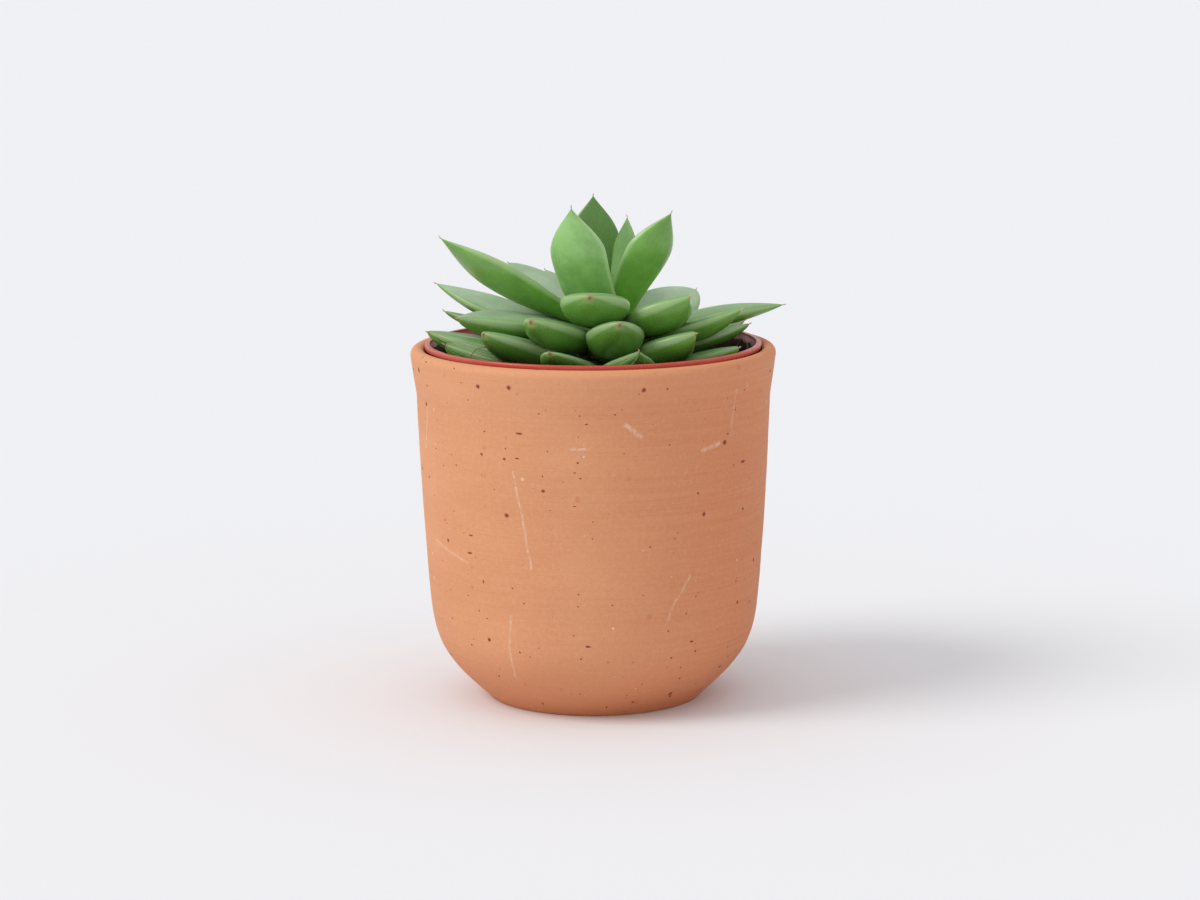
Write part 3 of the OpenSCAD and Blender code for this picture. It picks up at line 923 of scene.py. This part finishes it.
def stem():
    """The stem with its ringed leaf scars, and its tapered crown below."""
    sides, rings = 48, 60
    low, high = SOIL_Z - CROWN_DEPTH, STEM_TOP_Z
    points = []
    for i in range(rings + 1):
        z = low + (high - low) * i / rings
        if z < SOIL_Z:
            r = CROWN_R + (STEM_R - CROWN_R) * (z - low) / CROWN_DEPTH
        elif z < STEM_SHOULDER_Z:
            r = STEM_R
        else:
            share = (z - STEM_SHOULDER_Z) / (STEM_TOP_Z - STEM_SHOULDER_Z)
            r = STEM_R + (STEM_TOP_R - STEM_R) * share
        r -= 0.12 + 0.1 * math.sin(z * 3.2)
        for k in range(sides):
            t = 2 * math.pi * k / sides
            rr = r * (1 + 0.02 * math.sin(5 * t + z))
            points.append((STEM_X + rr * math.cos(t), rr * math.sin(t), z))
    faces = ring_faces(rings + 1, sides)
    faces.append(list(range(sides - 1, -1, -1)))
    faces.append([rings * sides + k for k in range(sides)])
    obj = make_object("scarred_stem", points, faces, STEM)
    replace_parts(obj, "stem")
    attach(obj, "plant")


# How many bits lie on the mix, on the bank by the wall and loose between the leaves
GOLDEN_ANGLE = 137.5
CRUMBS = 2200
BANK_GRAINS = 14
LOOSE_GRAINS = 90
BANK_CHIPS = 10
LOOSE_CHIPS = 60
CHIP_SQUASH = 0.4


def soil_radius(z):
    """Outer radius of the mix at a height."""
    body = LINER_BASE_R + (LINER_TOP_R - LINER_BASE_R) * (z - LINER_Z) / LINER_BODY_H
    return body - LINER_T - SOIL_GAP - 0.2


def soil_top(x, y):
    """Height of the uneven surface of the mix, banked up against the wall."""
    share = (math.hypot(x, y) - BANK_FOOT_R) / (BANK_TOP_R - BANK_FOOT_R)
    bank = (BANK_Z - SOIL_Z) * min(1.0, max(0.0, share))
    uneven = 0.45 * wavy(x, y, 0, 9) + 0.35 * wavy(x, y, 3, 3.2) + 0.2 * wavy(x, y, 7, 1.2)
    return SOIL_Z - 0.4 + bank + uneven


def lump(points, faces, centre, size, squash=1.0):
    """Adds one irregular crumb to a list of points and faces."""
    base = len(points)
    golden = (1 + 5 ** 0.5) / 2
    corner_r = 1.9
    corners = [(-1, golden, 0), (1, golden, 0), (-1, -golden, 0), (1, -golden, 0),
               (0, -1, golden), (0, 1, golden), (0, -1, -golden), (0, 1, -golden),
               (golden, 0, -1), (golden, 0, 1), (-golden, 0, -1), (-golden, 0, 1)]
    sides = [(0, 11, 5), (0, 5, 1), (0, 1, 7), (0, 7, 10), (0, 10, 11), (1, 5, 9), (5, 11, 4),
             (11, 10, 2), (10, 7, 6), (7, 1, 8), (3, 9, 4), (3, 4, 2), (3, 2, 6), (3, 6, 8),
             (3, 8, 9), (4, 9, 5), (2, 4, 11), (6, 2, 10), (8, 6, 7), (9, 8, 1)]
    spin = rng.uniform(0, math.pi)
    stretch = [rng.uniform(0.7, 1.3) for _ in range(3)]
    for x, y, z in corners:
        r = size / corner_r * rng.uniform(0.75, 1.15)
        px, py, pz = x * r * stretch[0], y * r * stretch[1], z * r * stretch[2] * squash
        points.append((
            centre[0] + px * math.cos(spin) - py * math.sin(spin),
            centre[1] + px * math.sin(spin) + py * math.cos(spin),
            centre[2] + pz,
        ))
    faces += [tuple(base + c for c in s) for s in sides]


def potting_mix():
    """The mix as a rough-topped plug, with crumbs over its surface."""
    rings, sides, wall_rings = 56, 160, 12
    rim = soil_radius(BANK_Z)
    points = []
    for i in range(rings + 1):
        r = rim * (i / rings) ** 0.9
        for k in range(sides):
            t = 2 * math.pi * k / sides
            x, y = r * math.cos(t), r * math.sin(t)
            points.append((x, y, soil_top(x, y)))
    for i in range(1, wall_rings + 1):
        z = BANK_Z - 1.5 + (SOIL_BOTTOM - BANK_Z + 1.5) * i / wall_rings
        r = soil_radius(z) - 0.1
        for k in range(sides):
            t = 2 * math.pi * k / sides
            points.append((r * math.cos(t), r * math.sin(t), z))
    faces = [tuple(reversed(f)) for f in ring_faces(rings + wall_rings + 1, sides)]
    faces.append([(rings + wall_rings) * sides + k for k in range(sides - 1, -1, -1)])
    obj = make_object("peaty_mix", points, faces, SOIL)
    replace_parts(obj, "potting_mix")
    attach(obj, "plant")

    crumb_points, crumb_faces = [], []
    for _ in range(CRUMBS):
        x, y = ring_place(8, 41.0)
        size = rng.choice((0.25, 0.35, 0.5, 0.8))
        lump(crumb_points, crumb_faces, (x, y, soil_top(x, y) + 0.2 * size), size)
    crumbs = make_object("mix_crumbs", crumb_points, crumb_faces, SOIL, smooth=False)
    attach(crumbs, "plant")


def ring_place(near, far):
    """A random place on the mix between two radii, more often near the outer one."""
    r, t = near + (far - near) * math.sqrt(rng.random()), rng.uniform(0, 2 * math.pi)
    return r * math.cos(t), r * math.sin(t)


def on_bank(i, r):
    """The place of bit i, at radius r round the bank of mix."""
    t = math.radians(i * GOLDEN_ANGLE)
    return r * math.cos(t), r * math.sin(t)


def perlite():
    points, faces = [], []
    for i in range(BANK_GRAINS):
        size = 0.5 + 0.1 * (i % 4)
        x, y = on_bank(i, 39.6 + 0.2 * (i % 5))
        lump(points, faces, (x, y, BANK_Z + size), size)
    for _ in range(LOOSE_GRAINS):
        x, y = ring_place(26, 40.8)
        lump(points, faces, (x, y, soil_top(x, y) + 0.1), rng.uniform(0.15, 0.5))
    obj = make_object("white_perlite", points, faces, PERLITE)
    subdivide(obj, 2)
    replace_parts(obj, "perlite_grains")
    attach(obj, "plant")


def subdivide(obj, levels):
    """Rounds a coarse mesh."""
    modifier = obj.modifiers.new("rounding", "SUBSURF")
    modifier.levels = modifier.render_levels = levels
    apply_modifiers(obj)


def bark():
    points, faces = [], []
    for i in range(BANK_CHIPS):
        x, y = on_bank(i + 20, 39.9)
        lump(points, faces, (x, y, BANK_Z + 0.35), 0.8, squash=CHIP_SQUASH)
    for _ in range(LOOSE_CHIPS):
        x, y = ring_place(24, 40.4)
        lump(points, faces, (x, y, soil_top(x, y) + 0.2), rng.uniform(0.4, 0.9), squash=CHIP_SQUASH)
    obj = make_object("bark_chips_rough", points, faces, BARK, smooth=False)
    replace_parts(obj, "bark_chips")
    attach(obj, "plant")


def tube(points, faces, line, radii, sides=8):
    """Adds a tube of changing radius along a line of points."""
    base = len(points)
    for i, p in enumerate(line):
        ahead = (Vector(line[min(i + 1, len(line) - 1)]) - Vector(line[max(i - 1, 0)])).normalized()
        side = ahead.cross(Vector((0.3, 0.2, 1))).normalized()
        up = side.cross(ahead)
        for k in range(sides):
            t = 2 * math.pi * k / sides
            points.append(Vector(p) + (side * math.cos(t) + up * math.sin(t)) * radii[i])
    n = len(line)
    faces += [tuple(base + v for v in f) for f in ring_faces(n, sides)]
    faces.append([base + k for k in range(sides - 1, -1, -1)])
    faces.append([base + (n - 1) * sides + k for k in range(sides)])


def curly(start, direction, length, curl, radius, steps=14):
    """A wandering line and its narrowing radii, for a dry twig."""
    line, radii = [], []
    p, d = Vector(start), Vector(direction).normalized()
    for i in range(steps + 1):
        line.append(tuple(p))
        radii.append(radius * (1 - 0.75 * i / steps))
        bend = Vector((wavy(*p, 3, 1), wavy(*p, 3, 2), wavy(*p, 3, 3))) * curl
        d = (d + bend).normalized()
        p = p + d * length / steps
    return line, radii


TWIG_TURNS = (17, 12, 3, -3)
TWIG_RING = 39.8
SMALL_TWIGS = 16

# Dry hairs caught between the leaves: start, bend and end of each, in mm
HAIR_R = 0.1
DRY_HAIRS = [
    ((-27.8, -26.6, 96.7), (-30.6, -27.4, 96.9), (-31.5, -27.6, 93.9)),
    ((-27.8, -26.6, 96.7), (-27.2, -27.0, 97.6), (-26.5, -26.6, 96.9)),
]
HAIR_STEPS = (0, 0.15, 0.3, 0.45, 0.6, 0.75, 0.9, 1.0)


def hair_line(start, bend, end):
    """Points of a hair along a curve from its start, drawn towards its bend, to its end."""
    line = []
    for t in HAIR_STEPS:
        weights = ((1 - t) ** 2, 2 * t * (1 - t), t * t)
        line.append(tuple(sum(w * c for w, c in zip(weights, axis)) for axis in zip(start, bend, end)))
    return line


def twigs():
    """Curled bits standing in the bank at the right, small bits between them, and the dry hairs."""
    points, faces = [], []
    for i, turn in enumerate(TWIG_TURNS):
        t = math.radians(turn)
        start = (TWIG_RING * math.cos(t), TWIG_RING * math.sin(t), BANK_Z - 0.2)
        direction = (-0.2 * (i % 2), 0.2 * i - 0.3, 1)
        line, radii = curly(start, direction, 5.5 + i % 3, 0.45, 0.42)
        tube(points, faces, line, radii)
    for _ in range(SMALL_TWIGS):
        t = rng.uniform(-0.5, 0.6)
        r = rng.uniform(37.5, 40.3)
        direction = (rng.uniform(-1, 0.2), rng.uniform(-1, 1), rng.uniform(0.1, 0.6))
        start = (r * math.cos(t), r * math.sin(t), BANK_Z)
        line, radii = curly(start, direction, rng.uniform(1.5, 3.5), 0.5, 0.2)
        tube(points, faces, line, radii)
    for hair in DRY_HAIRS:
        line = hair_line(*hair)
        tube(points, faces, line, [HAIR_R] * len(line))
    obj = make_object("curly_twigs", points, faces, TWIG)
    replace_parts(obj, "dry_twigs")
    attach(obj, "plant")


def roots():
    """The roots keep their CAD shape and get a stained, fibrous skin."""
    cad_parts["roots"].data.materials.clear()
    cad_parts["roots"].data.materials.append(ROOTS)


# ---- Setting ----

# Where the light comes from, its strength, its width in degrees, and the pale room round the object
SUN_FROM = (-0.69, -0.27, 0.67)
SUN_STRENGTH = 1.4
SUN_WIDTH = 30
SUN_COLOUR = (1.0, 0.99, 0.97)
ROOM_STRENGTH = 0.80
ROOM_COLOUR = (0.96, 0.97, 1.0, 1)
FLOOR_COLOUR = (0.82, 0.82, 0.835)
FLOOR_HALF = 9.0

# The camera's place in metres, its pitch, yaw and roll in degrees, and its lens in mm
CAMERA_PLACE = (0, -0.913, 0.2237)
CAMERA_TURNS = (9.84, 0.104, -0.31)
CAMERA_LENS = 105
CAMERA_SENSOR = 36


def floor():
    """A pale table top, large enough to fill the view."""
    half = FLOOR_HALF
    mesh = bpy.data.meshes.new("table_top")
    corners = [(-half, -half, 0), (half, -half, 0), (half, half, 0), (-half, half, 0)]
    mesh.from_pydata(corners, [], [(0, 1, 2, 3)])
    m = Nodes("pale_floor", roughness=0.9, specular=0.1)
    m.set("Base Color", FLOOR_COLOUR)
    mesh.materials.append(m.material)
    obj = bpy.data.objects.new("table_top", mesh)
    bpy.context.scene.collection.objects.link(obj)


def lights():
    """A broad soft light from the left and a little in front, in a pale room."""
    sun = bpy.data.lights.new("window_light", "SUN")
    sun.energy = SUN_STRENGTH
    sun.angle = math.radians(SUN_WIDTH)
    sun.color = SUN_COLOUR
    obj = bpy.data.objects.new("window_light", sun)
    obj.rotation_euler = Vector(SUN_FROM).to_track_quat("Z", "Y").to_euler()
    bpy.context.scene.collection.objects.link(obj)
    world = bpy.data.worlds.new("pale_room")
    world.use_nodes = True
    background = world.node_tree.nodes["Background"]
    background.inputs["Color"].default_value = ROOM_COLOUR
    background.inputs["Strength"].default_value = ROOM_STRENGTH
    bpy.context.scene.world = world


def camera():
    """Looks a little down on the pot from the front."""
    pitch, yaw, roll = (math.radians(turn) for turn in CAMERA_TURNS)
    level = Vector((math.sin(yaw), math.cos(yaw), 0))
    right = Vector((math.cos(yaw), -math.sin(yaw), 0))
    ahead = level * math.cos(pitch) - Vector((0, 0, math.sin(pitch)))
    up = level * math.sin(pitch) + Vector((0, 0, math.cos(pitch)))
    x = right * math.cos(roll) + up * math.sin(roll)
    y = up * math.cos(roll) - right * math.sin(roll)
    data = bpy.data.cameras.new("camera")
    data.lens = CAMERA_LENS
    data.sensor_width = CAMERA_SENSOR
    data.clip_start = 0.01
    data.clip_end = 50
    obj = bpy.data.objects.new("camera", data)
    bpy.context.scene.collection.objects.link(obj)
    columns = Matrix((x, y, -ahead)).transposed()
    obj.matrix_world = Matrix.Translation(Vector(CAMERA_PLACE)) @ columns.to_4x4()
    bpy.context.scene.camera = obj


bpy.context.scene.view_settings.view_transform = "Standard"
bpy.context.scene.view_settings.look = "Medium Contrast"
camera()
lights()
floor()
terracotta_pot()
nursery_pot()
leaves()
stem()
potting_mix()
perlite()
bark()
twigs()
roots()

bpy.context.view_layer.update()
